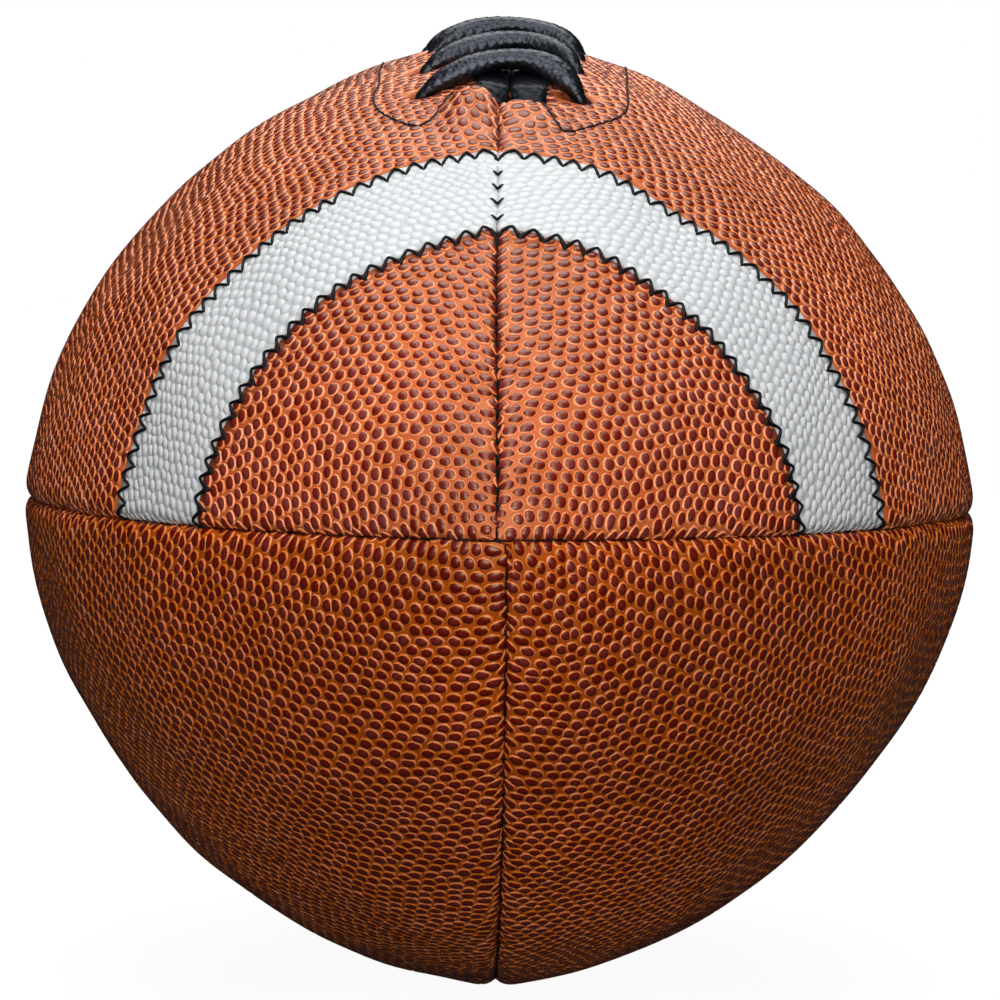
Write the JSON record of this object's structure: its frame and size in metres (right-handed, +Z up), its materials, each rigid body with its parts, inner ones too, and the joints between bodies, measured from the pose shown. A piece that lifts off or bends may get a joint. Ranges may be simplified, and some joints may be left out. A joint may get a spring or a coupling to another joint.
{
  "type": "american football",
  "caption": "Pointed oval leather ball of sewn panels with white stripes, laced along one seam over a rubber bladder, with a valve for an inflation needle.",
  "frame": {"origin": "on the floor under the middle of the ball, which rests on the seam opposite the laces", "axes": "+Y from the nose that faces the camera to the other nose, +Z up through the laces, +X to the right"},
  "size_m": [0.1732, 0.2826, 0.1783],
  "materials": {
    "tan_leather": "pebbled grain, lightly waxed",
    "white_leather": "pebbled, matt white",
    "lining_cloth": "woven cotton, rubbered",
    "facing_leather": "smooth split leather",
    "black_lace": "pebbled, satin",
    "bladder_rubber": "smooth moulded rubber",
    "valve_rubber": "smooth moulded rubber",
    "black_thread": "waxed thread"
  },
  "bodies": {
    "root": {"panel_lace_left": "tan_leather", "panel_lace_right": "tan_leather", "panel_back_left": "tan_leather", "panel_back_right": "tan_leather", "stripe_front_left": "white_leather", "stripe_front_right": "white_leather", "stripe_rear_left": "white_leather", "stripe_rear_right": "white_leather", "lining_lace_left": "lining_cloth", "lining_lace_right": "lining_cloth", "lining_back_left": "lining_cloth", "lining_back_right": "lining_cloth", "facing_left": "facing_leather", "facing_right": "facing_leather", "lace_tongue": "facing_leather", "lace": "black_lace", "bladder": "bladder_rubber", "valve_boot": "valve_rubber", "valve_core": "valve_rubber", "seam_thread_top": "black_thread", "seam_thread_left": "black_thread", "seam_thread_right": "black_thread", "seam_thread_bottom": "black_thread", "stripe_thread_front_left": "black_thread", "stripe_thread_front_right": "black_thread", "stripe_thread_rear_left": "black_thread", "stripe_thread_rear_right": "black_thread", "facing_thread_left": "black_thread", "facing_thread_right": "black_thread"}
  },
  "joints": []
}
